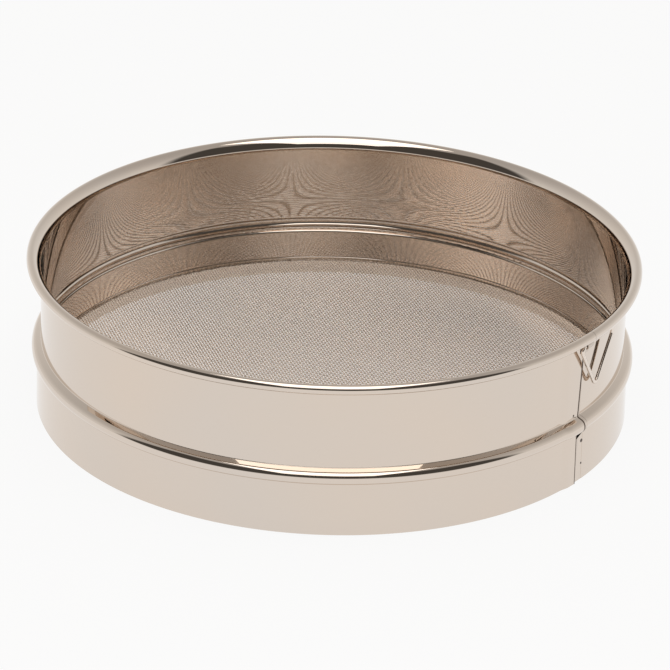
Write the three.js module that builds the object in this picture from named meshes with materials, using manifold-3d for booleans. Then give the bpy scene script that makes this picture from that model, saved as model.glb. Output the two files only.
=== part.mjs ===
// A round sieve: one rolled strip of sheet forms the hoop, with a wired rim, a pressed bead and a
// lap seam. A wire mesh is held in its foot by a clamp ring, and a wire loop hangs from a clip.
// Millimetres, +Z up. The origin is the centre of the hoop's lower edge.
import * as THREE from "three";
import { mergeVertices } from "three/addons/utils/BufferGeometryUtils.js";
import Module from "manifold-3d";

const wasm = await Module();
wasm.setup();

// Driving dimensions of the hoop
const hoopOuterRadius = 130; // over the rolled rim
const hoopHeight = 67.4;
const sheet = 0.5; // thickness of the hoop's strip
const rimOverhang = 5.7; // the rim stands out this far past the upper wall
const rimWireRadius = 1.25;
const rimWireClearance = 0.35; // between the wire and the curl round it
const flareRadius = 6; // the wall opens out on this radius before it curls
const curlEnd = THREE.MathUtils.degToRad(-170); // where the curl's cut edge stops, under the rim
const beadProjection = 4; // the bead stands out this far past the upper wall
const beadRadius = 2.8; // of the bead's crown, on the middle of the sheet
const beadHeight = 25.4; // of the crown's middle
const beadShoulder = THREE.MathUtils.degToRad(70); // above this the crown runs straight to the wall
const footStep = 1.9; // the lower wall stands out this far past the upper wall, at the bead
const footFlare = 0.4; // and spreads this much more on its way down

// The lap seam, where the strip's two ends overlap
const seamAngle = THREE.MathUtils.degToRad(-35); // of the outer layer's cut edge
const lapWidth = 8;
const lapGap = 0.15; // between the two layers
const joggleWidth = 5; // length over which the outer layer steps out
const joggleLead = 1.4; // the step ends this far before the inner layer starts
const rimButtGap = 0.3; // between the ends of the curl
const lapInset = 0.05; // the inner layer's tongue is this much thinner on each face
const lapTopDrop = 1; // the tongue stops this far below the flare

// The mesh and the ring that clamps it
const meshHeight = 6.5; // of the mesh's middle plane
const meshWireRadius = 0.35;
const weaveRise = 0.25; // a wire's middle rises and falls this far at the crossings
const meshWireCount = 14; // each way
const flangeThickness = 0.3; // of the mesh's turned-up border
const flangeHeight = 2.6; // above the mesh's middle plane
const borderWidth = 2.2; // flat ring that the wires end in
const borderThickness = 0.6;
const wireBite = 1.1; // length of each wire's end inside that ring
const clampSheet = 0.4;
const clampClearance = 0.25; // clamp ring to flange
const flangeClearance = 0.25; // flange to the hoop at its closest
const lipRadius = 1.2; // of the lip at the ring's top, on the middle of its sheet
const lipTurn = THREE.MathUtils.degToRad(48); // the lip leans out this far
const lipDrop = 1.2; // from the hoop's lower crease down to the lip's edge
const toeRadius = 0.6; // of the foot turned in at the ring's lower edge
const toeClearance = 1.15; // between that foot and the mesh's border

// The hanging loop and its clip
const loopWireRadius = 0.8;
const loopWidth = 28.6; // corner to corner on the wire's middle, before the corners are bent
const loopDepth = 21.5; // top bar to the lower corner, likewise
const loopBend = 2; // bend radius of the corners
const clipCornerGap = 0.37; // from the clip to the start of the bend at the bar's end
const barDrop = 3.8; // from the middle of the rim wire down to the loop's bar
const clipWidth = 4.6;
const clipSheet = 0.35;
const clipClearance = 0.25; // round the bar
const clipWallGap = 0.25; // clip to the hoop's outer layer
const clipLeafLength = 4.1; // below the bar
const clipHookEnd = THREE.MathUtils.degToRad(-110); // where the clip's hook stops, under the bar

// How finely round forms are faceted
const stationCount = 64; // round the hoop
const curlSteps = 12;
const flareSteps = 3;
const beadSteps = 7;
const rimWireSides = 6;
const lipSteps = 3;
const loopSides = 8;
const bendSteps = 4;
const hookSteps = 9;
const meshWireSides = 4;
const shortRunShare = 1 / 4; // of a step or pitch: a shorter run than this is left out

// Sizes that follow from these
const rimTubeRadius = rimWireRadius + rimWireClearance + sheet;
const rimMiddle = hoopOuterRadius - rimTubeRadius; // radius of the rim wire's middle
const rimHeight = hoopHeight - rimTubeRadius; // and its height
const wallOuter = hoopOuterRadius - rimOverhang;
const wallMiddle = wallOuter - sheet / 2;
const curlRadius = rimTubeRadius - sheet / 2;
const beadMiddle = wallMiddle + beadProjection - beadRadius; // radius of the bead section's centre
const footMiddleTop = wallMiddle + footStep;
const footMiddleBottom = footMiddleTop + footFlare;
const lapStep = sheet + lapGap;
const shoulderRadius = beadMiddle + beadRadius * Math.cos(beadShoulder);
const shoulderHeight = beadHeight + beadRadius * Math.sin(beadShoulder);
const upperCrease = shoulderHeight + (shoulderRadius - wallMiddle) / Math.tan(beadShoulder);
const lowerCrease = beadHeight - Math.sqrt(beadRadius ** 2 - (footMiddleTop - beadMiddle) ** 2);
const flareAngle = Math.acos((flareRadius - rimMiddle + wallMiddle) / (flareRadius - curlRadius));
const flareStart = rimHeight - (flareRadius - curlRadius) * Math.sin(flareAngle);

// Radius of the foot's inner face at a height, on the straight stretch below the crease.
function footInner(height) {
  const share = height / lowerCrease;
  return footMiddleBottom - share * footFlare - sheet / 2;
}

// The loop hangs with one end of its straight bar in the clip, this far off the clip's middle.
const cornerHalfAngle = Math.atan2(loopDepth, loopWidth / 2) / 2;
const straightHalf = loopWidth / 2 - loopBend / Math.tan(cornerHalfAngle);
const loopSlide = straightHalf - clipWidth / 2 - clipCornerGap;

const flangeTop = meshHeight + flangeHeight;
const flangeOuter = footInner(flangeTop) - flangeClearance;
const flangeInner = flangeOuter - flangeThickness;
const clampOuter = flangeInner - clampClearance;
const clampMiddle = clampOuter - clampSheet / 2;

const finishes = {
  polished: { color: 0xcfc7bd, roughness: 0.12, metalness: 1 },
  satin: { color: 0xb7ada1, roughness: 0.3, metalness: 1 },
  wire: { color: 0xc4bcb0, roughness: 0.22, metalness: 1 },
};

// A named mesh of its own material.
function piece(name, geometry, finish) {
  const mesh = new THREE.Mesh(geometry, new THREE.MeshStandardMaterial(finish));
  mesh.name = name;
  return mesh;
}

// Points of an arc about a centre, from one angle to another, both ends included.
function arc(centreX, centreY, radius, from, to, steps) {
  const points = [];
  for (let i = 0; i <= steps; i++) {
    const angle = from + ((to - from) * i) / steps;
    points.push(
      new THREE.Vector2(centreX + radius * Math.cos(angle), centreY + radius * Math.sin(angle)),
    );
  }
  return points;
}

// The unit normal to the right of a line's run at each of its points, scaled to keep mitred
// corners at full thickness.
function mitres(line) {
  return line.map((point, i) => {
    const before = line[Math.max(i - 1, 0)];
    const after = line[Math.min(i + 1, line.length - 1)];
    const inward = point.clone().sub(before);
    const outward = after.clone().sub(point);
    if (i === 0) inward.copy(outward);
    if (i === line.length - 1) outward.copy(inward);
    const a = new THREE.Vector2(inward.y, -inward.x).normalize();
    const b = new THREE.Vector2(outward.y, -outward.x).normalize();
    const sum = a.clone().add(b).normalize();
    return sum.divideScalar(sum.dot(a));
  });
}

// The closed outline, anticlockwise, of a strip of this thickness laid along a line.
function strip(line, thickness) {
  const normals = mitres(line);
  const side = (sign) =>
    line.map((point, i) => point.clone().addScaledVector(normals[i], (sign * thickness) / 2));
  return [...side(1), ...side(-1).reverse()];
}

// The same outline with its first edge cut level at height 0.
function standing(outline) {
  outline[0].y = 0;
  outline.at(-1).y = 0;
  return outline;
}

// A closed body through the outlines (radius, height) that lie at the angles given.
function revolve(outlines, angles) {
  const count = outlines[0].length;
  const positions = [];
  outlines.forEach((outline, k) =>
    outline.forEach((p) =>
      positions.push(p.x * Math.cos(angles[k]), p.x * Math.sin(angles[k]), p.y),
    ),
  );
  const index = [];
  for (let k = 0; k + 1 < angles.length; k++) {
    for (let i = 0; i < count; i++) {
      const a = k * count + i;
      const b = k * count + ((i + 1) % count);
      index.push(a, a + count, b, b, a + count, b + count);
    }
  }
  const last = (angles.length - 1) * count;
  for (const [a, b, c] of THREE.ShapeUtils.triangulateShape(outlines[0], [])) index.push(a, b, c);
  for (const [a, b, c] of THREE.ShapeUtils.triangulateShape(outlines.at(-1), [])) {
    index.push(last + a, last + c, last + b);
  }
  return new THREE.BufferGeometry()
    .setAttribute("position", new THREE.Float32BufferAttribute(positions, 3))
    .setIndex(index);
}

// A closed ring turned about the Z axis from a closed outline (radius, height).
function ring(outline) {
  const geometry = new THREE.LatheGeometry([...outline, outline[0]], stationCount);
  return geometry.rotateX(Math.PI / 2);
}

// A round bar along a line in a plane. The line lies in X and Z; closed lines have no ends.
function bar(line, radius, sides, closed) {
  const positions = [];
  const index = [];
  const count = line.length;
  const looped = closed ? [line.at(-1), ...line, line[0]] : line;
  const normals = closed ? mitres(looped).slice(1, -1) : mitres(line);
  line.forEach((point, k) => {
    for (let s = 0; s < sides; s++) {
      const turn = (2 * Math.PI * s) / sides;
      const across = radius * Math.cos(turn);
      positions.push(
        point.x + normals[k].x * across,
        radius * Math.sin(turn),
        point.y + normals[k].y * across,
      );
    }
  });
  const runs = closed ? count : count - 1;
  for (let k = 0; k < runs; k++) {
    for (let s = 0; s < sides; s++) {
      const next = (s + 1) % sides;
      const a = k * sides + s;
      const b = k * sides + next;
      const c = ((k + 1) % count) * sides + s;
      const d = ((k + 1) % count) * sides + next;
      index.push(a, b, c, b, d, c);
    }
  }
  if (!closed) {
    const end = (count - 1) * sides;
    for (let s = 1; s + 1 < sides; s++) {
      index.push(0, s + 1, s);
      index.push(end, end + s, end + s + 1);
    }
  }
  return new THREE.BufferGeometry()
    .setAttribute("position", new THREE.Float32BufferAttribute(positions, 3))
    .setIndex(index);
}

// A geometry as a solid that can be joined or cut.
function solid(geometry) {
  const bare = geometry.clone();
  bare.deleteAttribute("normal");
  bare.deleteAttribute("uv");
  const merged = mergeVertices(bare);
  return new wasm.Manifold(
    new wasm.Mesh({
      numProp: 3,
      vertProperties: new Float32Array(merged.attributes.position.array),
      triVerts: new Uint32Array(merged.index.array),
    }),
  );
}

// And a solid as a geometry again.
function geometryOf(body) {
  const mesh = body.getMesh();
  return new THREE.BufferGeometry()
    .setAttribute("position", new THREE.BufferAttribute(mesh.vertProperties, mesh.numProp))
    .setIndex(new THREE.BufferAttribute(mesh.triVerts, 1));
}

// The middle line of the hoop's strip, from its lower edge to the end of the curl, pushed out
// by the lap's step, which fades along the flare so that the curl stays true.
function hoopLine(step) {
  const crown = arc(
    beadMiddle,
    beadHeight,
    beadRadius,
    Math.atan2(lowerCrease - beadHeight, footMiddleTop - beadMiddle),
    beadShoulder,
    beadSteps,
  );
  const flare = arc(
    wallMiddle + flareRadius,
    flareStart,
    flareRadius,
    Math.PI,
    Math.PI - flareAngle,
    flareSteps,
  );
  const curl = arc(rimMiddle, rimHeight, curlRadius, Math.PI - flareAngle, curlEnd, curlSteps);
  const foot = new THREE.Vector2(footMiddleBottom, 0);
  const walls = [foot, ...crown, new THREE.Vector2(wallMiddle, upperCrease)];
  walls.forEach((point) => (point.x += step));
  flare.forEach((point, i) => (point.x += step * (1 - i / flareSteps)));
  return [...walls, ...flare.slice(0, -1), ...curl];
}

// The hoop: the strip swept once round from the seam, its end stepped out over the start, and
// the start's tongue that lies under the lap.
function hoop() {
  const angleOf = (length) => length / wallOuter;
  const start = seamAngle + rimButtGap / rimMiddle;
  const end = seamAngle + 2 * Math.PI;
  const stepEnd = end - angleOf(lapWidth + joggleLead);
  const stepStart = stepEnd - angleOf(joggleWidth);
  const pitch = (2 * Math.PI) / stationCount;
  const angles = [start];
  const short = shortRunShare * pitch;
  for (let k = Math.ceil((start + short) / pitch); k * pitch < stepStart - short; k++) {
    angles.push(k * pitch);
  }
  angles.push(stepStart, stepEnd, (stepEnd + end) / 2, end);
  const outlines = angles.map((angle) =>
    standing(strip(hoopLine(angle > stepStart ? lapStep : 0), sheet)),
  );
  const band = revolve(outlines, angles);

  const whole = hoopLine(0);
  const tongueTop = new THREE.Vector2(wallMiddle, flareStart - lapTopDrop);
  const tongueFoot = new THREE.Vector2(footMiddleBottom, lapInset);
  const tongueLine = [tongueFoot, ...whole.slice(1, beadSteps + 3), tongueTop];
  const tongueOutline = strip(tongueLine, sheet - 2 * lapInset);
  const tongueAngles = [seamAngle - angleOf(lapWidth), seamAngle, angles[1]];
  const tongue = revolve(
    tongueAngles.map(() => tongueOutline),
    tongueAngles,
  );
  return geometryOf(solid(band).add(solid(tongue)));
}

function rimWire() {
  const round = arc(rimMiddle, rimHeight, rimWireRadius, 0, 2 * Math.PI, rimWireSides);
  return ring(round.slice(0, -1));
}

// The clamp ring: a straight strip whose top lip leans out to the hoop, below its lower crease, and
// whose lower edge turns in to a foot over the mesh's border.
function clampRing() {
  const lipHeight = lowerCrease - lipDrop - lipRadius * Math.sin(lipTurn);
  const toeHeight = meshHeight + borderThickness / 2 + toeClearance + clampSheet / 2;
  const toe = arc(
    clampMiddle - toeRadius,
    toeHeight + toeRadius,
    toeRadius,
    -Math.PI / 2,
    0,
    lipSteps,
  );
  const lipEnd = Math.PI - lipTurn;
  const lip = arc(clampMiddle + lipRadius, lipHeight, lipRadius, Math.PI, lipEnd, lipSteps);
  return ring(strip([...toe, ...lip], clampSheet));
}

// One mesh wire at its offset from the middle, which rises over one crossing and dips under the
// next. Its ends lie in the border, on the circle of this radius.
function meshWire(row, endRadius, pitch, phase) {
  const placeOf = (k) => (k - (meshWireCount - 1) / 2) * pitch;
  const reach = Math.sqrt(endRadius ** 2 - placeOf(row) ** 2);
  const line = [new THREE.Vector2(-reach, 0)];
  for (let k = 0; k < meshWireCount; k++) {
    if (Math.abs(placeOf(k)) > reach - shortRunShare * pitch) continue;
    const rise = (row + k + phase) % 2 === 0 ? weaveRise : -weaveRise;
    line.push(new THREE.Vector2(placeOf(k), rise));
  }
  line.push(new THREE.Vector2(reach, 0));
  return bar(line, meshWireRadius, meshWireSides, false).translate(0, placeOf(row), meshHeight);
}

// The mesh: two sets of interlaced wires that end in a flat border with a turned-up flange.
function sieveMesh() {
  const borderInner = flangeInner - borderWidth;
  const pitch = (2 * borderInner) / meshWireCount;
  const top = meshHeight + borderThickness / 2;
  const foot = meshHeight - borderThickness / 2;
  const border = ring([
    new THREE.Vector2(borderInner, foot),
    new THREE.Vector2(flangeOuter, foot),
    new THREE.Vector2(flangeOuter, flangeTop),
    new THREE.Vector2(flangeInner, flangeTop),
    new THREE.Vector2(flangeInner, top),
    new THREE.Vector2(borderInner, top),
  ]);
  const bodies = [solid(border)];
  for (let row = 0; row < meshWireCount; row++) {
    bodies.push(solid(meshWire(row, borderInner + wireBite, pitch, 0)));
    const crossing = meshWire(row, borderInner + wireBite, pitch, meshWireCount % 2);
    bodies.push(solid(crossing.rotateZ(Math.PI / 2)));
  }
  return geometryOf(wasm.Manifold.union(bodies));
}

// The loop's closed middle line: a triangle, point down, with bent corners.
function loopLine() {
  const corners = [
    new THREE.Vector2(-loopWidth / 2, 0),
    new THREE.Vector2(loopWidth / 2, 0),
    new THREE.Vector2(0, -loopDepth),
  ];
  const line = [];
  corners.forEach((corner, i) => {
    const toPrevious = corners.at(i - 1).clone().sub(corner).normalize();
    const toNext = corners[(i + 1) % corners.length].clone().sub(corner).normalize();
    const half = Math.acos(toPrevious.dot(toNext)) / 2;
    const middle = toPrevious.clone().add(toNext).normalize();
    const centre = corner.clone().addScaledVector(middle, loopBend / Math.sin(half));
    const from = corner.clone().addScaledVector(toPrevious, loopBend / Math.tan(half)).sub(centre);
    const sweep = Math.PI - 2 * half;
    for (let s = 0; s <= bendSteps; s++) {
      const turned = from.clone().rotateAround(new THREE.Vector2(), (-sweep * s) / bendSteps);
      line.push(centre.clone().add(turned));
    }
  });
  return line;
}

// The clip: a strip folded over the loop's bar, with one leaf down the wall.
function ringClip() {
  const fold = loopWireRadius + clipClearance + clipSheet / 2;
  const line = [
    new THREE.Vector2(-fold, -clipLeafLength),
    ...arc(0, 0, fold, Math.PI, clipHookEnd, hookSteps),
  ];
  const shape = new THREE.Shape(strip(line, clipSheet));
  const geometry = new THREE.ExtrudeGeometry(shape, { depth: clipWidth, bevelEnabled: false });
  // The section faces out of the hoop, and its length lies along the bar.
  return geometry.translate(0, 0, -clipWidth / 2).rotateX(Math.PI / 2).rotateZ(-Math.PI / 2);
}

const sieve = new THREE.Group();
sieve.add(piece("hoop", hoop(), finishes.polished));
sieve.add(piece("rim_wire", rimWire(), finishes.satin));
sieve.add(piece("sieve_mesh", sieveMesh(), finishes.wire));
sieve.add(piece("clamp_ring", clampRing(), finishes.polished));

// The hanger stands against the outer layer of the lap, with its bar square to the loop's own
// radius, and X along the bar.
const lapOuter = wallOuter + lapStep;
const seat = Math.sqrt(lapOuter ** 2 - loopSlide ** 2) + clipWallGap;
const barDistance = seat + clipSheet + clipClearance + loopWireRadius;
const loopAngle = seamAngle + Math.atan2(loopSlide, barDistance);
const hanger = new THREE.Group();
hanger.rotation.z = loopAngle + Math.PI / 2;
hanger.position.set(
  barDistance * Math.cos(loopAngle),
  barDistance * Math.sin(loopAngle),
  rimHeight - barDrop,
);
hanger.add(piece("hanging_ring", bar(loopLine(), loopWireRadius, loopSides, true), finishes.wire));
const clip = piece("ring_clip", ringClip(), finishes.satin);
clip.position.x = -loopSlide;
hanger.add(clip);
sieve.add(hanger);

export default sieve;
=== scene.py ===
"""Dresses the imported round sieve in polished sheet, drawn wire and woven cloth, and sets its studio."""

import math

import bmesh
import bpy
from mathutils import Matrix, Vector


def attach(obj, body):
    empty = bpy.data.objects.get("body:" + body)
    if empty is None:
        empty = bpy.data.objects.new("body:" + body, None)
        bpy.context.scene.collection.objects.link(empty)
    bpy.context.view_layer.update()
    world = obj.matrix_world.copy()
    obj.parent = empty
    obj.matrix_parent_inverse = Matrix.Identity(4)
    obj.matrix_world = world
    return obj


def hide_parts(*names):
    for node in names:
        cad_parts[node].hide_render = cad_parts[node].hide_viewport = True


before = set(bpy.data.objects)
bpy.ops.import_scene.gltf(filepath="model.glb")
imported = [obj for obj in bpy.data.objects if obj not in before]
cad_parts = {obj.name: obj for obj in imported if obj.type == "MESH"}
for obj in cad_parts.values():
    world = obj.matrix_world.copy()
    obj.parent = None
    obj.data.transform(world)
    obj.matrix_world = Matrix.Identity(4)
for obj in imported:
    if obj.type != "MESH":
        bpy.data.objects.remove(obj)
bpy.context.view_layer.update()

# Lengths below are in millimetres, and MM turns them into Blender's metres.
MM = 0.001

# The hoop's strip
SHEET = 0.5
HOOP_OUTER_RADIUS = 130
HOOP_HEIGHT = 67.4
RIM_OVERHANG = 5.7
RIM_WIRE_RADIUS = 1.25
RIM_WIRE_CLEARANCE = 0.35
FLARE_RADIUS = 6
CURL_END = math.radians(-170)
BEAD_PROJECTION = 4
BEAD_RADIUS = 2.8
BEAD_HEIGHT = 25.4
BEAD_SHOULDER = math.radians(70)
FOOT_STEP = 1.9
FOOT_FLARE = 0.4
FOOT_STOPS = (0.5, 0.85, 0.93, 0.96, 0.98)
UPPER_CREASE_REACH = 0.5
LOWER_CREASE_REACH = 0.08

# The lap seam
SEAM_ANGLE = math.radians(-35)
LAP_WIDTH = 8
LAP_GAP = 0.15
JOGGLE_WIDTH = 5
JOGGLE_LEAD = 1.4
RIM_BUTT_GAP = 0.12
LAP_INSET = 0.05
LAP_TOP_DROP = 1
CUT_LEAN = math.radians(-1.1)
CUT_STEP_BACK = math.radians(-1.3)
CUT_EDGE_WIDTH = 0.9
CUT_EDGE_STANDS = 0.03

# The cloth and the ring that clamps it
CLOTH_HEIGHT = 6.5
CLOTH_PITCH = 1.27
CLOTH_WIRES = 198
CLOTH_WIRE_DIAMETER = 0.41
CLOTH_TURN = math.radians(18)
CLOTH_WAVE = 0.16
FLANGE_THICKNESS = 0.3
FLANGE_HEIGHT = 2.6
FLANGE_CLEARANCE = 0.25
CLAMP_SHEET = 0.4
CLAMP_CLEARANCE = 0.25
CLAMP_BORDER = 0.6
LIP_RADIUS = 1.2
LIP_TURN = math.radians(48)
LIP_DROP = 1.2
TOE_RADIUS = 1.2
TOE_TURN = math.radians(38)
TOE_CLEARANCE = 1.15

# The hanging loop and its clip
LOOP_WIRE_RADIUS = 0.8
LOOP_WIDTH = 28.6
LOOP_DEPTH = 21.5
LOOP_BEND = 2
CLIP_CORNER_GAP = 0.37
BAR_DROP = 3.8
CLIP_WIDTH = 4.6
CLIP_SHEET = 0.35
CLIP_CLEARANCE = 0.25
CLIP_WALL_GAP = 0.25
CLIP_LEAF = 4.1
CLIP_HOOK_END = math.radians(-110)

# How finely the round forms are divided
HOOP_STATIONS = 330
JOGGLE_STEPS = 10
LAP_STEPS = 6
RING_STATIONS = 360
CLOTH_WIRE_SIDES = 5
SHARP_DEGREES = 35

# The cloth's slow waves
CLOTH_SEED = 3.0

# Colours of the metal
STEEL = (0.685, 0.608, 0.53)
CLIP_STEEL = (0.60, 0.53, 0.46)
CUT_STEEL = (0.13, 0.10, 0.08)
# The drawn wire is the same steel as the sheet, painted brighter: painted light, so that the loop keeps its
# brightness where it reflects the dim room.
WIRE_STEEL_PAINTED_BRIGHT = (0.78, 0.70, 0.62)
# The cloth's two sets of wire are the same steel. The across set is painted much brighter: a painted
# highlight for how the light falls on the wires running that way, making lit and shaded copies of one
# material.
CLOTH_ALONG = (0.70, 0.61, 0.52)
CLOTH_ACROSS_PAINTED_BRIGHT = (0.97, 0.834, 0.708)
WELD_COLOR = (0.09, 0.07, 0.06)

# The studio, in metres, watts and radians
TABLE_REACH = 6
TABLE_COLOR = (0.86, 0.85, 0.83)
TABLE_GLOW = 0.9
# The share of the table's glow that reflections see under the sieve: painted shade under the foot.
PAINTED_SHADE_IN_REFLECTION = 0.5
SOFTBOX_SIZE = (1.2, 2)
SOFTBOX_PLACE = (0, -0.87, 1.6)
SOFTBOX_WATTS = 13.5
SOFTBOX_COLOR = (1, 0.98, 0.95)
ROOM_LOW = (0.85, 0.84, 0.82)
ROOM_HIGH = (0.5, 0.48, 0.46)
ROOM_DIM = (0.075, 0.069, 0.063)
DIM_TURN = math.radians(5)
DIM_SIDES = (math.radians(71), math.radians(81))
CAMERA_PLACE = (0, -1.32498, 0.6612)
CAMERA_PITCH = 0.4459
CAMERA_YAW = 0.0008
CAMERA_ROLL = 0.0277
CAMERA_LENS = 184.354

# Sizes that follow from these
RIM_TUBE_RADIUS = RIM_WIRE_RADIUS + RIM_WIRE_CLEARANCE + SHEET
RIM_MIDDLE = HOOP_OUTER_RADIUS - RIM_TUBE_RADIUS
RIM_HEIGHT = HOOP_HEIGHT - RIM_TUBE_RADIUS
WALL_OUTER = HOOP_OUTER_RADIUS - RIM_OVERHANG
WALL_MIDDLE = WALL_OUTER - SHEET / 2
CURL_RADIUS = RIM_TUBE_RADIUS - SHEET / 2
BEAD_MIDDLE = WALL_MIDDLE + BEAD_PROJECTION - BEAD_RADIUS
FOOT_TOP = WALL_MIDDLE + FOOT_STEP
FOOT_BOTTOM = FOOT_TOP + FOOT_FLARE
LAP_STEP = SHEET + LAP_GAP
SHOULDER_RADIUS = BEAD_MIDDLE + BEAD_RADIUS * math.cos(BEAD_SHOULDER)
SHOULDER_HEIGHT = BEAD_HEIGHT + BEAD_RADIUS * math.sin(BEAD_SHOULDER)
UPPER_CREASE = SHOULDER_HEIGHT + (SHOULDER_RADIUS - WALL_MIDDLE) / math.tan(BEAD_SHOULDER)
LOWER_CREASE = BEAD_HEIGHT - math.sqrt(BEAD_RADIUS**2 - (FOOT_TOP - BEAD_MIDDLE) ** 2)
FLARE_ANGLE = math.acos((FLARE_RADIUS - RIM_MIDDLE + WALL_MIDDLE) / (FLARE_RADIUS - CURL_RADIUS))
FLARE_START = RIM_HEIGHT - (FLARE_RADIUS - CURL_RADIUS) * math.sin(FLARE_ANGLE)
FLANGE_TOP = CLOTH_HEIGHT + FLANGE_HEIGHT
FLANGE_OUTER = FOOT_BOTTOM - FOOT_FLARE * FLANGE_TOP / LOWER_CREASE - SHEET / 2 - FLANGE_CLEARANCE
FLANGE_INNER = FLANGE_OUTER - FLANGE_THICKNESS
CLAMP_MIDDLE = FLANGE_INNER - CLAMP_CLEARANCE - CLAMP_SHEET / 2
CORNER_HALF = math.atan2(LOOP_DEPTH, LOOP_WIDTH / 2) / 2
LOOP_SLIDE = LOOP_WIDTH / 2 - LOOP_BEND / math.tan(CORNER_HALF) - CLIP_WIDTH / 2 - CLIP_CORNER_GAP
SEAT = math.sqrt((WALL_OUTER + LAP_STEP) ** 2 - LOOP_SLIDE**2) + CLIP_WALL_GAP
BAR_DISTANCE = SEAT + CLIP_SHEET + CLIP_CLEARANCE + LOOP_WIRE_RADIUS
LOOP_ANGLE = SEAM_ANGLE + math.atan2(LOOP_SLIDE, BAR_DISTANCE)


def flat(x, y):
    return Vector((x, y))


def arc(x, y, radius, start, end, steps):
    """Points of an arc about (x, y), from one angle to another, both ends included."""
    turns = [start + (end - start) * i / steps for i in range(steps + 1)]
    return [flat(x + radius * math.cos(t), y + radius * math.sin(t)) for t in turns]


def walked(line, distance):
    """A line without the first stretch of this length."""
    left = distance
    for i, (a, b) in enumerate(zip(line, line[1:])):
        run = (b - a).length
        if run > left:
            return [a.lerp(b, left / run), *line[i + 1 :]]
        left -= run
    return line[-1:]


def softened(before, after, reach, steps=6):
    """Two lines that meet in a corner, joined by a curve that starts and ends this far from it."""
    head = walked(before[::-1], reach)[::-1]
    tail = walked(after, reach)
    curve = []
    for i in range(1, steps):
        t = i / steps
        curve.append(head[-1].lerp(before[-1], t).lerp(after[0].lerp(tail[0], t), t))
    return head + curve + tail


def mitres(line, closed=False):
    """For each point, the normal to the right of the line, long enough to keep a mitred corner full."""
    count = len(line)
    normals = []
    for i, point in enumerate(line):
        before = line[i - 1] if closed or i else None
        after = line[(i + 1) % count] if closed or i + 1 < count else None
        runs = []
        if before is not None:
            runs.append(point - before)
        if after is not None:
            runs.append(after - point)
        sides = [flat(run.y, -run.x).normalized() for run in runs]
        total = sum(sides, flat(0, 0)).normalized()
        normals.append(total / total.dot(sides[0]))
    return normals


def strip(line, thickness):
    """The closed outline of a strip of this thickness laid along a line."""
    normals = mitres(line)
    right = [p + n * thickness / 2 for p, n in zip(line, normals)]
    left = [p - n * thickness / 2 for p, n in zip(line, normals)]
    return right + left[::-1]


def sweep(name, sections, angles, closed=False, lean=None):
    """A mesh through outlines of (radius, height) at these angles about Z, each turned on by the lean."""
    mesh = bpy.data.meshes.new(name)
    shape = bmesh.new()
    rows = []
    for section, angle in zip(sections, angles):
        row = []
        for p in section:
            turn = angle + (lean(angle, p.y) if lean else 0)
            place = Vector((p.x * math.cos(turn), p.x * math.sin(turn), p.y))
            row.append(shape.verts.new(place * MM))
        rows.append(row)
    pairs = list(zip(rows, rows[1:]))
    if closed:
        pairs.append((rows[-1], rows[0]))
    for a, b in pairs:
        for i in range(len(a)):
            j = (i + 1) % len(a)
            shape.faces.new((a[i], b[i], b[j], a[j]))
    if not closed:
        shape.faces.new(rows[0])
        shape.faces.new(rows[-1][::-1])
    return finished(name, mesh, shape)


def finished(name, mesh, shape, sharp=SHARP_DEGREES):
    """An object of a bmesh, with its faces out, smooth but for the corners over this many degrees."""
    bmesh.ops.recalc_face_normals(shape, faces=shape.faces)
    for face in shape.faces:
        face.smooth = True
    shape.to_mesh(mesh)
    shape.free()
    mesh.set_sharp_from_angle(angle=math.radians(sharp))
    piece = bpy.data.objects.new(name, mesh)
    bpy.context.scene.collection.objects.link(piece)
    return piece


def joined(name, pieces):
    """One object of several, under a new name."""
    shape = bmesh.new()
    for piece in pieces:
        shape.from_mesh(piece.data)
        bpy.data.objects.remove(piece)
    return finished(name, bpy.data.meshes.new(name), shape)


def hoop_line(step):
    """The hoop's middle line from its lower edge to the curl's end, pushed out by the lap's step."""
    crown = arc(
        BEAD_MIDDLE,
        BEAD_HEIGHT,
        BEAD_RADIUS,
        math.atan2(LOWER_CREASE - BEAD_HEIGHT, FOOT_TOP - BEAD_MIDDLE),
        BEAD_SHOULDER,
        22,
    )
    flare = arc(WALL_MIDDLE + FLARE_RADIUS, FLARE_START, FLARE_RADIUS, math.pi, math.pi - FLARE_ANGLE, 10)
    curl = arc(RIM_MIDDLE, RIM_HEIGHT, CURL_RADIUS, math.pi - FLARE_ANGLE, CURL_END, 30)
    bottom = flat(FOOT_BOTTOM, 0)
    foot = [bottom, *[bottom.lerp(crown[0], share) for share in FOOT_STOPS], crown[0]]
    crease = flat(WALL_MIDDLE, UPPER_CREASE)
    walls = softened(foot, [*crown, crease], LOWER_CREASE_REACH)
    walls = softened(walls, [crease, flare[0]], UPPER_CREASE_REACH)[:-1]
    for point in walls:
        point.x += step
    for i, point in enumerate(flare):
        point.x += step * (1 - i / (len(flare) - 1))
    return walls + flare[:-1] + curl


def wall_line(step):
    """The hoop's line from its lower edge up to the top of the lap, under the flare."""
    top = FLARE_START - LAP_TOP_DROP
    whole = hoop_line(step)
    return [*[p for p in whole[: len(whole) // 2] if p.y < top], flat(WALL_MIDDLE + step, top)]


def eased(share):
    """0 to 1 with a level start and end."""
    t = min(max(share, 0), 1)
    return t * t * (3 - 2 * t)


def cut_place(height):
    """How far before the seam the outer layer is cut: a little lean, and a step back below the bead."""
    leaning = min(max((FLARE_START - height) / (FLARE_START - LOWER_CREASE), 0), 1)
    return CUT_LEAN * leaning + CUT_STEP_BACK * eased(LOWER_CREASE + 0.2 - height)


def cut_lean(angle, height):
    """The same, spread over the last stretch of the outer layer."""
    end = SEAM_ANGLE + 2 * math.pi
    start = end - (LAP_WIDTH + JOGGLE_LEAD) / WALL_OUTER
    return cut_place(height) * min(max((angle - start) / (end - start), 0), 1)


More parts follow.
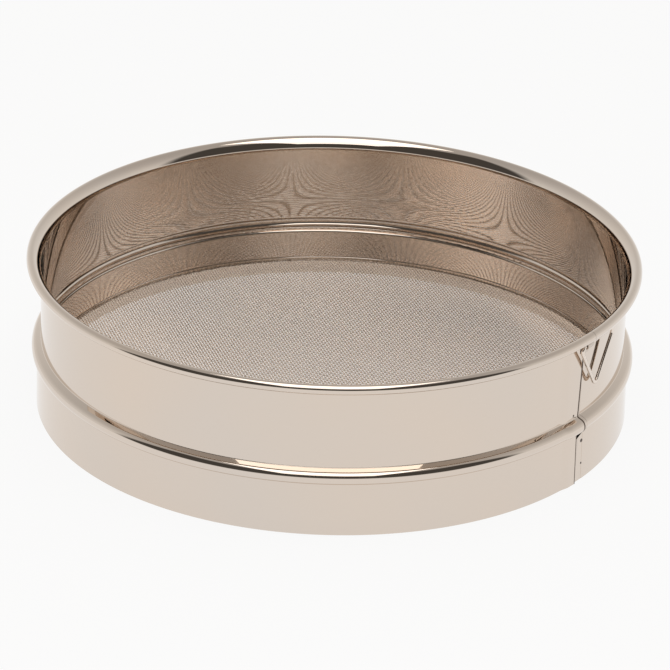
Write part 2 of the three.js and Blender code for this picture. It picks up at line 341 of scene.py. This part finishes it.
def cut_edge():
    """The dull sheared edge of the outer layer, from the foot up to the flare."""
    outline = strip(wall_line(LAP_STEP), SHEET + 2 * CUT_EDGE_STANDS)
    outline[0].y = 0
    outline[-1].y = 0
    end = SEAM_ANGLE + 2 * math.pi
    turns = [end - CUT_EDGE_WIDTH / WALL_OUTER, end + CUT_EDGE_STANDS / WALL_OUTER]
    return sweep("cut_edge", [outline] * 2, turns, lean=cut_lean)


def hoop_sheet():
    """The hoop: a strip swept round from the seam, its last stretch stepped out over the tongue."""
    width = LAP_WIDTH / WALL_OUTER
    start = SEAM_ANGLE + RIM_BUTT_GAP / RIM_MIDDLE
    end = SEAM_ANGLE + 2 * math.pi
    step_end = end - (LAP_WIDTH + JOGGLE_LEAD) / WALL_OUTER
    step_start = step_end - JOGGLE_WIDTH / WALL_OUTER
    angles = [start + (step_start - start) * i / HOOP_STATIONS for i in range(HOOP_STATIONS)]
    angles += [step_start + (step_end - step_start) * i / JOGGLE_STEPS for i in range(JOGGLE_STEPS)]
    angles += [step_end + (end - step_end) * i / LAP_STEPS for i in range(LAP_STEPS + 1)]
    sections = []
    for angle in angles:
        share = (angle - step_start) / (step_end - step_start)
        section = strip(hoop_line(LAP_STEP * eased(share)), SHEET)
        section[0].y = 0
        section[-1].y = 0
        sections.append(section)
    band = sweep("band", sections, angles, lean=cut_lean)

    line = [flat(FOOT_BOTTOM, LAP_INSET), *wall_line(0)[1:]]
    reach = width + 2 * RIM_BUTT_GAP / RIM_MIDDLE
    turns = [SEAM_ANGLE - width + reach * i / LAP_STEPS for i in range(LAP_STEPS + 1)]
    outline = strip(line, SHEET - 2 * LAP_INSET)
    tongue = sweep("tongue", [outline] * len(turns), turns)
    return joined("hoop_sheet", [band, tongue])


def turned_ring(name, outline, stations=RING_STATIONS):
    """A closed ring turned about the Z axis."""
    angles = [2 * math.pi * i / stations for i in range(stations)]
    return sweep(name, [outline] * stations, angles, closed=True)


def clamp_band():
    lip_height = LOWER_CREASE - LIP_DROP - LIP_RADIUS * math.sin(LIP_TURN)
    toe_height = CLOTH_HEIGHT + CLAMP_BORDER / 2 + TOE_CLEARANCE + CLAMP_SHEET / 2
    toe_middle = toe_height + TOE_RADIUS * math.sin(TOE_TURN)
    toe = arc(CLAMP_MIDDLE - TOE_RADIUS, toe_middle, TOE_RADIUS, -TOE_TURN, 0, 10)
    lip = arc(CLAMP_MIDDLE + LIP_RADIUS, lip_height, LIP_RADIUS, math.pi, math.pi - LIP_TURN, 10)
    return turned_ring("clamp_band", strip(toe + lip, CLAMP_SHEET))


def cloth_border():
    """The cloth's edge, turned up between the hoop and the clamp ring."""
    low = CLOTH_HEIGHT - CLAMP_BORDER / 2
    bend = arc(FLANGE_INNER - 0.2, low + 0.55, 0.35, -math.pi / 2, 0, 6)
    line = [flat(FLANGE_INNER - 1, low + 0.2), *bend, flat(FLANGE_INNER + 0.15, FLANGE_TOP)]
    return turned_ring("cloth_border", strip(line, FLANGE_THICKNESS))


def rim_core():
    """The wire inside the rolled rim."""
    outline = arc(RIM_MIDDLE, RIM_HEIGHT, RIM_WIRE_RADIUS, 0, 2 * math.pi, 20)[:-1]
    return turned_ring("rim_core", outline)


def hanger_place(point):
    """A point (along the bar, out from the hoop, up) of the hanger, in the row frame."""
    out = Vector((math.cos(LOOP_ANGLE), math.sin(LOOP_ANGLE), 0))
    along = Vector((-out.y, out.x, 0))
    bar = out * BAR_DISTANCE + Vector((0, 0, RIM_HEIGHT - BAR_DROP))
    return (bar + along * point[0] + out * point[1] + Vector((0, 0, point[2]))) * MM


def loop_line(bend_steps=10):
    """The loop's closed middle line (along the bar, up): a triangle, point down, with bent corners."""
    corners = [flat(-LOOP_WIDTH / 2, 0), flat(LOOP_WIDTH / 2, 0), flat(0, -LOOP_DEPTH)]
    line = []
    for i, corner in enumerate(corners):
        back = (corners[i - 1] - corner).normalized()
        ahead = (corners[(i + 1) % 3] - corner).normalized()
        half = back.angle(ahead) / 2
        centre = corner + (back + ahead).normalized() * LOOP_BEND / math.sin(half)
        start = corner + back * LOOP_BEND / math.tan(half) - centre
        sweep_angle = math.pi - 2 * half
        for s in range(bend_steps + 1):
            turn = Matrix.Rotation(-sweep_angle * s / bend_steps, 2)
            line.append(centre + turn @ start)
    return line


def hanging_loop(sides=16):
    line = loop_line()
    normals = mitres(line, closed=True)
    shape = bmesh.new()
    rows = []
    for point, normal in zip(line, normals):
        row = []
        for s in range(sides):
            turn = 2 * math.pi * s / sides
            across = LOOP_WIRE_RADIUS * math.cos(turn)
            out = LOOP_WIRE_RADIUS * math.sin(turn)
            place = hanger_place((point.x + normal.x * across, out, point.y + normal.y * across))
            row.append(shape.verts.new(place))
        rows.append(row)
    for i, row in enumerate(rows):
        after = rows[(i + 1) % len(rows)]
        for s in range(sides):
            t = (s + 1) % sides
            shape.faces.new((row[s], row[t], after[t], after[s]))
    return finished("hanging_loop", bpy.data.meshes.new("hanging_loop"), shape, sharp=60)


def loop_clip():
    """The strip folded over the loop's bar, with one leaf down the wall."""
    fold = LOOP_WIRE_RADIUS + CLIP_CLEARANCE + CLIP_SHEET / 2
    line = [flat(-fold, -CLIP_LEAF), *arc(0, 0, fold, math.pi, CLIP_HOOK_END, 24)]
    outline = strip(line, CLIP_SHEET)
    shape = bmesh.new()
    ends = []
    for side in (-1, 1):
        at = side * CLIP_WIDTH / 2 - LOOP_SLIDE
        ends.append([shape.verts.new(hanger_place((at, p.x, p.y))) for p in outline])
    near, far = ends
    for i in range(len(near)):
        j = (i + 1) % len(near)
        shape.faces.new((near[i], near[j], far[j], far[i]))
    shape.faces.new(near[::-1])
    shape.faces.new(far)
    return finished("loop_clip", bpy.data.meshes.new("loop_clip"), shape)


# Materials


def node(tree, kind, links=None, **settings):
    """A node with these settings, and its inputs set to values or joined to sockets."""
    made = tree.nodes.new(kind)
    for name, value in settings.items():
        setattr(made, name, value)
    for key, value in (links or {}).items():
        socket = made.inputs[key]
        if isinstance(value, bpy.types.NodeSocket):
            tree.links.new(value, socket)
        else:
            socket.default_value = value
    return made


def group_tree(name, inputs, outputs):
    """An empty shader group with these sockets, and its own input and output nodes."""
    tree = bpy.data.node_groups.new(name, "ShaderNodeTree")
    for label, kind, value in inputs:
        socket = tree.interface.new_socket(label, in_out="INPUT", socket_type=kind)
        if value is not None:
            socket.default_value = value
    for label, kind in outputs:
        tree.interface.new_socket(label, in_out="OUTPUT", socket_type=kind)
    return tree, tree.nodes.new("NodeGroupInput"), tree.nodes.new("NodeGroupOutput")


def math_of(tree, operation, a, b=None, clamp=False):
    links = {0: a} if b is None else {0: a, 1: b}
    return node(tree, "ShaderNodeMath", links, operation=operation, use_clamp=clamp).outputs[0]


def mixed_color(tree, share, first, second, blend="MIX"):
    """Two colours or colour sockets mixed by a share."""
    links = {0: share, 6: first, 7: second}
    return node(tree, "ShaderNodeMix", links, data_type="RGBA", blend_type=blend).outputs[2]


def noise_at(tree, place, scale, detail, **links):
    """A noise node's value at a place."""
    values = {"Vector": place, "Scale": scale, "Detail": detail, **links}
    return node(tree, "ShaderNodeTexNoise", values).outputs[0]


def rolled_sheet_group():
    """Fine lines along the strip's length, and the slow waves that a rolled sheet keeps."""
    tree, given, out = group_tree(
        "rolled_sheet",
        [
            ("Position", "NodeSocketVector", None),
            ("Line Spacing", "NodeSocketFloat", 0.0004),
            ("Wave Length", "NodeSocketFloat", 0.03),
            ("Line Depth", "NodeSocketFloat", 1.0),
            ("Wave Depth", "NodeSocketFloat", 1.0),
        ],
        [("Lines", "NodeSocketFloat"), ("Height", "NodeSocketFloat")],
    )
    split = node(tree, "ShaderNodeSeparateXYZ", {0: given.outputs["Position"]})
    angle = math_of(tree, "ARCTAN2", split.outputs["Y"], split.outputs["X"])
    round_trip = math_of(tree, "MULTIPLY", angle, WALL_OUTER * MM)
    along = math_of(tree, "MULTIPLY", round_trip, 0.02)
    lines_at = node(tree, "ShaderNodeCombineXYZ", {0: along, 1: split.outputs["Z"]})
    fine = math_of(tree, "DIVIDE", 1.0, given.outputs["Line Spacing"])
    lines = noise_at(tree, lines_at.outputs[0], fine, 2.0)
    wide = math_of(tree, "DIVIDE", 1.0, given.outputs["Wave Length"])
    waves = noise_at(tree, given.outputs["Position"], wide, 1.0)
    shallow = math_of(tree, "MULTIPLY", lines, given.outputs["Line Depth"])
    deep = math_of(tree, "MULTIPLY", waves, given.outputs["Wave Depth"])
    tree.links.new(lines, out.inputs["Lines"])
    tree.links.new(math_of(tree, "ADD", shallow, deep), out.inputs["Height"])
    return tree


def handling_group():
    """Smudges left by wiping and handling: a soft mask with a few stronger patches."""
    tree, given, out = group_tree(
        "handling",
        [
            ("Position", "NodeSocketVector", None),
            ("Patch Size", "NodeSocketFloat", 0.04),
            ("Spread", "NodeSocketFloat", 0.5),
        ],
        [("Smudge", "NodeSocketFloat"), ("Tint", "NodeSocketColor")],
    )
    scale = math_of(tree, "DIVIDE", 1.0, given.outputs["Patch Size"])
    cloudy = noise_at(tree, given.outputs["Position"], scale, 3.0, Distortion=0.6)
    low = math_of(tree, "SUBTRACT", 0.75, math_of(tree, "MULTIPLY", given.outputs["Spread"], 0.3))
    mask = node(
        tree,
        "ShaderNodeMapRange",
        {"Value": cloudy, "From Min": low, "From Max": 0.85},
        interpolation_type="SMOOTHSTEP",
    )
    warm = noise_at(tree, given.outputs["Position"], 18.0, 1.0)
    tint = mixed_color(tree, warm, (0.96, 0.98, 1.02, 1), (1.04, 0.995, 0.965, 1))
    tree.links.new(mask.outputs[0], out.inputs["Smudge"])
    tree.links.new(tint, out.inputs["Tint"])
    return tree


def weld_group():
    """One spot weld: a small pressed disc, dark at its rim, about a centre in object coordinates."""
    tree, given, out = group_tree(
        "spot_weld",
        [
            ("Position", "NodeSocketVector", None),
            ("Centre", "NodeSocketVector", None),
            ("Radius", "NodeSocketFloat", 0.0008),
        ],
        [("Mark", "NodeSocketFloat")],
    )
    reach = node(
        tree,
        "ShaderNodeVectorMath",
        {0: given.outputs["Position"], 1: given.outputs["Centre"]},
        operation="DISTANCE",
    )
    share = math_of(tree, "DIVIDE", reach.outputs["Value"], given.outputs["Radius"])
    mark = node(
        tree,
        "ShaderNodeMapRange",
        {"Value": share, "From Min": 0.75, "From Max": 1.15, "To Min": 1.0, "To Max": 0.0},
        interpolation_type="SMOOTHSTEP",
    )
    tree.links.new(mark.outputs[0], out.inputs["Mark"])
    return tree


def placed(tree, group, **values):
    """A group node with these values or sockets on its inputs."""
    made = tree.nodes.new("ShaderNodeGroup")
    made.node_tree = group
    for name, value in values.items():
        socket = made.inputs[name.replace("_", " ")]
        if isinstance(value, bpy.types.NodeSocket):
            tree.links.new(value, socket)
        else:
            socket.default_value = value
    return made


ROLLED = rolled_sheet_group()
HANDLING = handling_group()
WELD = weld_group()


def weld_points():
    """The spot welds that show on the hoop: where each is, and its radius."""
    spots = (
        (-37.5, WALL_OUTER + LAP_STEP, 30.6, 0.5),
        (-35.2, FOOT_TOP + SHEET / 2, 17.8, 0.85),
        (-35, FOOT_BOTTOM, 7.3, 0.5),
    )
    for degrees, from_middle, height, radius in spots:
        angle = math.radians(degrees)
        centre = Vector((from_middle * math.cos(angle), from_middle * math.sin(angle), height))
        yield centre * MM, radius * MM


def metal(tree, color, roughness, height, depth):
    """Joins a colour, a roughness and a height of this depth to the material's metal shader."""
    shader = tree.nodes["Principled BSDF"]
    bump = node(tree, "ShaderNodeBump", {"Height": height, "Distance": depth, "Strength": 1.0})
    shader.inputs["Metallic"].default_value = 1
    tree.links.new(color, shader.inputs["Base Color"])
    tree.links.new(roughness, shader.inputs["Roughness"])
    tree.links.new(bump.outputs[0], shader.inputs["Normal"])


def polished_sheet(name, color, roughness, wave_depth, welds=()):
    """Polished stainless sheet, with rolling lines, slow waves, smudges and any spot welds."""
    material = bpy.data.materials.new(name)
    material.use_nodes = True
    tree = material.node_tree
    where = node(tree, "ShaderNodeTexCoord").outputs["Object"]
    sheet = placed(tree, ROLLED, Position=where, Wave_Depth=wave_depth, Line_Depth=0.02)
    hands = placed(tree, HANDLING, Position=where)
    tinted = mixed_color(tree, 1.0, (*color, 1), hands.outputs["Tint"], "MULTIPLY")
    height = sheet.outputs["Height"]
    marks = None
    for centre, radius in welds:
        spot = placed(tree, WELD, Position=where, Centre=centre, Radius=radius)
        mark = spot.outputs["Mark"]
        marks = mark if marks is None else math_of(tree, "MAXIMUM", marks, mark)
    if marks is not None:
        tinted = mixed_color(tree, marks, tinted, (*WELD_COLOR, 1))
        height = math_of(tree, "SUBTRACT", height, math_of(tree, "MULTIPLY", marks, 2.0))
    smudged = math_of(tree, "MULTIPLY", hands.outputs["Smudge"], 0.03)
    streaks = math_of(tree, "MULTIPLY", sheet.outputs["Lines"], 0.02)
    rough = math_of(tree, "ADD", math_of(tree, "ADD", smudged, streaks), roughness)
    metal(tree, tinted, rough, height, 0.00004)
    return material


def drawn_wire(name, color, roughness, line_spacing):
    """Stainless wire, with faint drawing marks and uneven brightness."""
    material = bpy.data.materials.new(name)
    material.use_nodes = True
    tree = material.node_tree
    where = node(tree, "ShaderNodeTexCoord").outputs["Object"]
    marks = noise_at(tree, where, 1 / line_spacing, 2.0, Roughness=0.6)
    hands = placed(tree, HANDLING, Position=where, Patch_Size=0.025)
    tinted = mixed_color(tree, 1.0, (*color, 1), hands.outputs["Tint"], "MULTIPLY")
    uneven = math_of(tree, "MULTIPLY", marks, 0.12)
    rough = math_of(tree, "ADD", math_of(tree, "SUBTRACT", uneven, 0.06), roughness)
    metal(tree, tinted, rough, marks, 0.00001)
    return material


# The woven cloth


def woven_wires_tree():
    """One set of the cloth's wires: rows of points that rise and dip in turn, cut to a circle."""
    tree = bpy.data.node_groups.new("woven_wires", "GeometryNodeTree")
    face = tree.interface
    sockets = [
        ("Geometry", "NodeSocketGeometry"),
        ("Wires", "NodeSocketInt"),
        ("First Row", "NodeSocketInt"),
        ("Row Count", "NodeSocketInt"),
        ("Pitch", "NodeSocketFloat"),
        ("Wire Diameter", "NodeSocketFloat"),
        ("Cloth Radius", "NodeSocketFloat"),
        ("Level", "NodeSocketFloat"),
        ("Turn", "NodeSocketFloat"),
        ("Unevenness", "NodeSocketFloat"),
        ("Sides", "NodeSocketInt"),
        ("Seed", "NodeSocketFloat"),
        ("Material", "NodeSocketMaterial"),
    ]
    for label, kind in sockets:
        face.new_socket(label, in_out="INPUT", socket_type=kind)
    face.new_socket("Geometry", in_out="OUTPUT", socket_type="NodeSocketGeometry")
    given = tree.nodes.new("NodeGroupInput").outputs
    out = tree.nodes.new("NodeGroupOutput")

    # A row of points for each wire, one point at each crossing, and the rows set side by side
    half = math_of(tree, "MULTIPLY", math_of(tree, "SUBTRACT", given["Wires"], 1.0), 0.5)
    start = math_of(tree, "MULTIPLY", math_of(tree, "MULTIPLY", half, given["Pitch"]), -1.0)
    first = math_of(tree, "MULTIPLY_ADD", given["First Row"], given["Pitch"])
    tree.links.new(start, first.node.inputs[2])
    step_along = node(tree, "ShaderNodeCombineXYZ", {0: given["Pitch"]}).outputs[0]
    step_across = node(tree, "ShaderNodeCombineXYZ", {1: given["Pitch"]}).outputs[0]
    row_start = node(tree, "ShaderNodeCombineXYZ", {0: start}).outputs[0]
    rows_start = node(tree, "ShaderNodeCombineXYZ", {1: first}).outputs[0]
    row = node(
        tree,
        "GeometryNodeMeshLine",
        {"Count": given["Wires"], "Start Location": row_start, "Offset": step_along},
    ).outputs[0]
    rows = node(
        tree,
        "GeometryNodeMeshLine",
        {"Count": given["Row Count"], "Start Location": rows_start, "Offset": step_across},
    ).outputs[0]
    placed_rows = node(tree, "GeometryNodeInstanceOnPoints", {"Points": rows, "Instance": row}).outputs[0]
    points = node(tree, "GeometryNodeRealizeInstances", {0: placed_rows}).outputs[0]

    # The wire's middle goes over one crossing and under the next
    place = node(tree, "ShaderNodeSeparateXYZ", {0: tree.nodes.new("GeometryNodeInputPosition").outputs[0]})
    x = place.outputs["X"]
    y = place.outputs["Y"]
    counts = []
    for way in (x, y):
        pitches = math_of(tree, "DIVIDE", math_of(tree, "SUBTRACT", way, start), given["Pitch"])
        counts.append(math_of(tree, "ROUND", pitches))
    odd = math_of(tree, "FLOORED_MODULO", math_of(tree, "ADD", *counts), 2.0)
    rise = math_of(tree, "MULTIPLY", math_of(tree, "SUBTRACT", odd, 0.5), given["Wire Diameter"])

    # Each wire ends on the circle
    squared = math_of(tree, "MULTIPLY", given["Cloth Radius"], given["Cloth Radius"])
    left = math_of(tree, "SUBTRACT", squared, math_of(tree, "MULTIPLY", y, y))
    reach = math_of(tree, "SQRT", math_of(tree, "MAXIMUM", left, 0.0))
    limit = math_of(tree, "ADD", reach, given["Pitch"])
    outside = math_of(tree, "GREATER_THAN", math_of(tree, "ABSOLUTE", x), limit)
    before = math_of(tree, "MULTIPLY", reach, -1.0)
    held = math_of(tree, "MAXIMUM", math_of(tree, "MINIMUM", x, reach), before)

    # The cloth isn't quite flat: slow waves run through it, and die out towards its held edge
    centre = node(tree, "ShaderNodeCombineXYZ", {0: x, 1: y}).outputs[0]
    distance = node(tree, "ShaderNodeVectorMath", {0: centre}, operation="LENGTH").outputs["Value"]
    inner = math_of(tree, "DIVIDE", distance, given["Cloth Radius"])
    fade = math_of(tree, "SUBTRACT", 1.0, math_of(tree, "POWER", inner, 6.0), clamp=True)
    turned = node(
        tree,
        "ShaderNodeVectorRotate",
        {"Vector": centre, "Angle": given["Turn"]},
        rotation_type="Z_AXIS",
    ).outputs[0]
    noise = node(
        tree,
        "ShaderNodeTexNoise",
        {"Vector": turned, "W": given["Seed"], "Scale": 22.0, "Detail": 1.0},
        noise_dimensions="4D",
    ).outputs[0]
    faded = math_of(tree, "MULTIPLY", math_of(tree, "SUBTRACT", noise, 0.5), fade)
    wave = math_of(tree, "MULTIPLY", faded, 2.0)
    uneven = math_of(tree, "MULTIPLY", wave, given["Unevenness"])
    height = math_of(tree, "ADD", math_of(tree, "ADD", rise, uneven), given["Level"])
    moved = node(tree, "ShaderNodeCombineXYZ", {0: held, 1: y, 2: height}).outputs[0]
    kept = node(tree, "GeometryNodeDeleteGeometry", {"Geometry": points, "Selection": outside}).outputs[0]
    shaped = node(tree, "GeometryNodeSetPosition", {"Geometry": kept, "Position": moved}).outputs[0]

    wires = node(tree, "GeometryNodeMeshToCurve", {"Mesh": shaped}).outputs[0]
    radius = math_of(tree, "MULTIPLY", given["Wire Diameter"], 0.5)
    round_form = {"Resolution": given["Sides"], "Radius": radius}
    ring = node(tree, "GeometryNodeCurvePrimitiveCircle", round_form).outputs[0]
    tube = {"Curve": wires, "Profile Curve": ring, "Fill Caps": True}
    tubes = node(tree, "GeometryNodeCurveToMesh", tube).outputs[0]
    turn = node(tree, "ShaderNodeCombineXYZ", {2: given["Turn"]}).outputs[0]
    laid = node(tree, "GeometryNodeTransform", {"Geometry": tubes, "Rotation": turn}).outputs[0]
    whole = node(tree, "GeometryNodeRealizeInstances", {0: laid}).outputs[0]
    smooth = node(tree, "GeometryNodeSetShadeSmooth", {0: whole}).outputs[0]
    finish = {"Geometry": smooth, "Material": given["Material"]}
    painted = node(tree, "GeometryNodeSetMaterial", finish).outputs[0]
    tree.links.new(painted, out.inputs[0])
    return tree


def made_by(name, tree, values):
    """The plain mesh that a geometry tree gives with these values on its named inputs."""
    seed = bpy.data.meshes.new(name + "_start")
    holder = bpy.data.objects.new(name + "_start", seed)
    bpy.context.scene.collection.objects.link(holder)
    modifier = holder.modifiers.new("shape", "NODES")
    modifier.node_group = tree
    for item in tree.interface.items_tree:
        if item.in_out == "INPUT" and item.name in values:
            modifier[item.identifier] = values[item.name]
    depsgraph = bpy.context.evaluated_depsgraph_get()
    mesh = bpy.data.meshes.new_from_object(holder.evaluated_get(depsgraph))
    mesh.name = name
    bpy.data.objects.remove(holder)
    bpy.data.meshes.remove(seed)
    piece = bpy.data.objects.new(name, mesh)
    bpy.context.scene.collection.objects.link(piece)
    return piece


def cloth(finishes):
    """The cloth's two sets of wires, each in two halves."""
    tree = woven_wires_tree()
    half = CLOTH_WIRES // 2
    pieces = []
    ways = (("along", CLOTH_TURN), ("across", CLOTH_TURN + math.pi / 2))
    for (direction, turn), finish in zip(ways, finishes):
        for part, first in (("a", 0), ("b", half)):
            values = {
                "Wires": CLOTH_WIRES,
                "First Row": first,
                "Row Count": half,
                "Pitch": CLOTH_PITCH * MM,
                "Wire Diameter": CLOTH_WIRE_DIAMETER * MM,
                "Cloth Radius": (FLANGE_INNER - 0.1) * MM,
                "Level": CLOTH_HEIGHT * MM,
                "Turn": turn,
                "Unevenness": CLOTH_WAVE * MM,
                "Sides": CLOTH_WIRE_SIDES,
                "Seed": CLOTH_SEED,
                "Material": finish,
            }
            pieces.append(made_by(f"cloth_{direction}_{part}", tree, values))
    return pieces


sheet_finish = polished_sheet("polished_sheet", STEEL, 0.02, 1.0, welds=list(weld_points()))
clamp_finish = polished_sheet("polished_clamp", STEEL, 0.07, 1.4)
clip_finish = polished_sheet("satin_clip", CLIP_STEEL, 0.2, 0.4)
cut_finish = polished_sheet("dull_cut", CUT_STEEL, 0.45, 1.0)
# The wire's colour is the sheet's steel painted brighter, as painted light.
painted_bright_wire_finish = drawn_wire("painted_bright_wire", WIRE_STEEL_PAINTED_BRIGHT, 0.14, 0.002)
cloth_finish = drawn_wire("cloth_wire", CLOTH_ALONG, 0.22, 0.0004)
# The across wires get the brighter copy of the cloth steel, a painted highlight.
across_painted_bright_finish = drawn_wire("cloth_wire_across_painted_bright", CLOTH_ACROSS_PAINTED_BRIGHT, 0.26, 0.0004)

dressed = [
    (hoop_sheet(), sheet_finish, "sieve", "hoop", "polished_sheet"),
    (cut_edge(), cut_finish, "sieve", "hoop", "polished_sheet"),
    (rim_core(), painted_bright_wire_finish, "sieve", "rim_wire", "drawn_wire"),
    (clamp_band(), clamp_finish, "sieve", "clamp_ring", "polished_sheet"),
    (cloth_border(), cloth_finish, "sieve", "sieve_mesh", "woven_mesh"),
    (loop_clip(), clip_finish, "sieve", "ring_clip", "clip_strip"),
    (hanging_loop(), painted_bright_wire_finish, "loop", "hanging_ring", "drawn_wire"),
]
for piece in cloth((cloth_finish, across_painted_bright_finish)):
    dressed.append((piece, None, "sieve", "sieve_mesh", "woven_mesh"))
for piece, finish, body, stands_for, slot in dressed:
    if finish is not None:
        piece.data.materials.append(finish)
    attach(piece, body)
    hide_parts(stands_for)


# The studio: a pale table, a softbox overhead and a dim room behind the camera


def floor():
    mesh = bpy.data.meshes.new("table")
    shape = bmesh.new()
    corners = ((-1, -1), (1, -1), (1, 1), (-1, 1))
    shape.faces.new([shape.verts.new((x * TABLE_REACH, y * TABLE_REACH, 0)) for x, y in corners])
    shape.to_mesh(mesh)
    shape.free()
    table = bpy.data.objects.new("table", mesh)
    bpy.context.scene.collection.objects.link(table)
    material = bpy.data.materials.new("pale_table")
    material.use_nodes = True
    tree = material.node_tree
    tree.nodes.clear()
    path = node(tree, "ShaderNodeLightPath")
    bounced = (path.outputs["Is Glossy Ray"], path.outputs["Is Transmission Ray"])
    reflected = math_of(tree, "MAXIMUM", *bounced)
    lit = node(tree, "ShaderNodeBsdfDiffuse", {"Color": (*TABLE_COLOR, 1)}).outputs[0]
    glow = node(tree, "ShaderNodeEmission", {"Color": (1, 1, 1, 1), "Strength": 1.0}).outputs[0]

    # Under the sieve, reflections find less of the table's glow. This is painted shade in a disc under the
    # foot, added to the real shadow on the lit table.
    place = node(tree, "ShaderNodeTexCoord").outputs["Object"]
    distance = node(tree, "ShaderNodeVectorMath", {0: place}, operation="LENGTH").outputs["Value"]
    foot = {
        "Value": distance,
        "From Min": (FOOT_BOTTOM - SHEET / 2) * MM,
        "From Max": (FOOT_BOTTOM + SHEET / 2) * MM,
        "To Min": PAINTED_SHADE_IN_REFLECTION,
        "To Max": 1.0,
    }
    painted_shade_under_sieve = node(tree, "ShaderNodeMapRange", foot).outputs[0]
    shown = math_of(tree, "MULTIPLY", reflected, painted_shade_under_sieve)
    seen = math_of(tree, "MAXIMUM", path.outputs["Is Camera Ray"], shown)
    share = math_of(tree, "MULTIPLY", seen, TABLE_GLOW)
    mixed = node(tree, "ShaderNodeMixShader", {0: share, 1: lit, 2: glow}).outputs[0]
    node(tree, "ShaderNodeOutputMaterial", {"Surface": mixed})
    mesh.materials.append(material)


def softbox():
    lamp = bpy.data.lights.new("softbox", "AREA")
    lamp.shape = "RECTANGLE"
    lamp.size, lamp.size_y = SOFTBOX_SIZE
    lamp.energy = SOFTBOX_WATTS
    lamp.color = SOFTBOX_COLOR
    holder = bpy.data.objects.new("softbox", lamp)
    holder.location = SOFTBOX_PLACE
    bpy.context.scene.collection.objects.link(holder)


def room():
    """Pale sides, with a dim room behind the camera between the table and the softbox."""
    world = bpy.data.worlds.new("studio")
    bpy.context.scene.world = world
    world.use_nodes = True
    tree = world.node_tree
    tree.nodes.clear()
    way = node(tree, "ShaderNodeSeparateXYZ", {0: node(tree, "ShaderNodeTexCoord").outputs["Generated"]})
    behind = math_of(tree, "MULTIPLY", way.outputs["Y"], -1.0)
    turned = math_of(tree, "ARCTAN2", way.outputs["X"], behind)
    side = math_of(tree, "ABSOLUTE", math_of(tree, "ADD", turned, DIM_TURN))

    def ramp(value, low, high, start, end):
        limits = {"Value": value, "From Min": low, "From Max": high, "To Min": start, "To Max": end}
        return node(tree, "ShaderNodeMapRange", limits, interpolation_type="SMOOTHSTEP").outputs[0]

    above = ramp(way.outputs["Z"], 0.05, 0.14, 0.0, 1.0)
    below = ramp(way.outputs["Z"], 0.8, 0.88, 1.0, 0.0)
    within = ramp(side, *DIM_SIDES, 1.0, 0.0)
    dim = math_of(tree, "MULTIPLY", math_of(tree, "MULTIPLY", above, below), within)
    path = node(tree, "ShaderNodeLightPath")
    hidden = math_of(tree, "SUBTRACT", 1.0, path.outputs["Is Camera Ray"])
    shade = math_of(tree, "MULTIPLY", dim, hidden)
    height = ramp(way.outputs["Z"], 0.0, 1.0, 0.0, 1.0)
    walls = mixed_color(tree, height, (*ROOM_LOW, 1), (*ROOM_HIGH, 1))
    tone = mixed_color(tree, shade, walls, (*ROOM_DIM, 1))
    white = mixed_color(tree, path.outputs["Is Camera Ray"], tone, (1, 1, 1, 1))
    background = node(tree, "ShaderNodeBackground", {"Color": white, "Strength": 1.0}).outputs[0]
    node(tree, "ShaderNodeOutputWorld", {"Surface": background})


def camera():
    """The photograph's view: low tele lens in front of the sieve, looking down and turned a little."""
    level = math.cos(CAMERA_PITCH)
    ahead = Vector((math.sin(CAMERA_YAW) * level, math.cos(CAMERA_YAW) * level, -math.sin(CAMERA_PITCH)))
    right = ahead.cross(Vector((0, 0, 1))).normalized()
    up = right.cross(ahead)
    across = right * math.cos(CAMERA_ROLL) + up * math.sin(CAMERA_ROLL)
    upright = up * math.cos(CAMERA_ROLL) - right * math.sin(CAMERA_ROLL)
    lens = bpy.data.cameras.new("camera")
    lens.sensor_width = 36
    lens.lens = CAMERA_LENS
    lens.clip_start = 0.05
    holder = bpy.data.objects.new("camera", lens)
    turn = Matrix((across, upright, -ahead)).transposed().to_4x4()
    holder.matrix_world = Matrix.Translation(CAMERA_PLACE) @ turn
    bpy.context.scene.collection.objects.link(holder)
    bpy.context.scene.camera = holder


floor()
softbox()
room()
camera()
bpy.context.scene.view_settings.view_transform = "Standard"
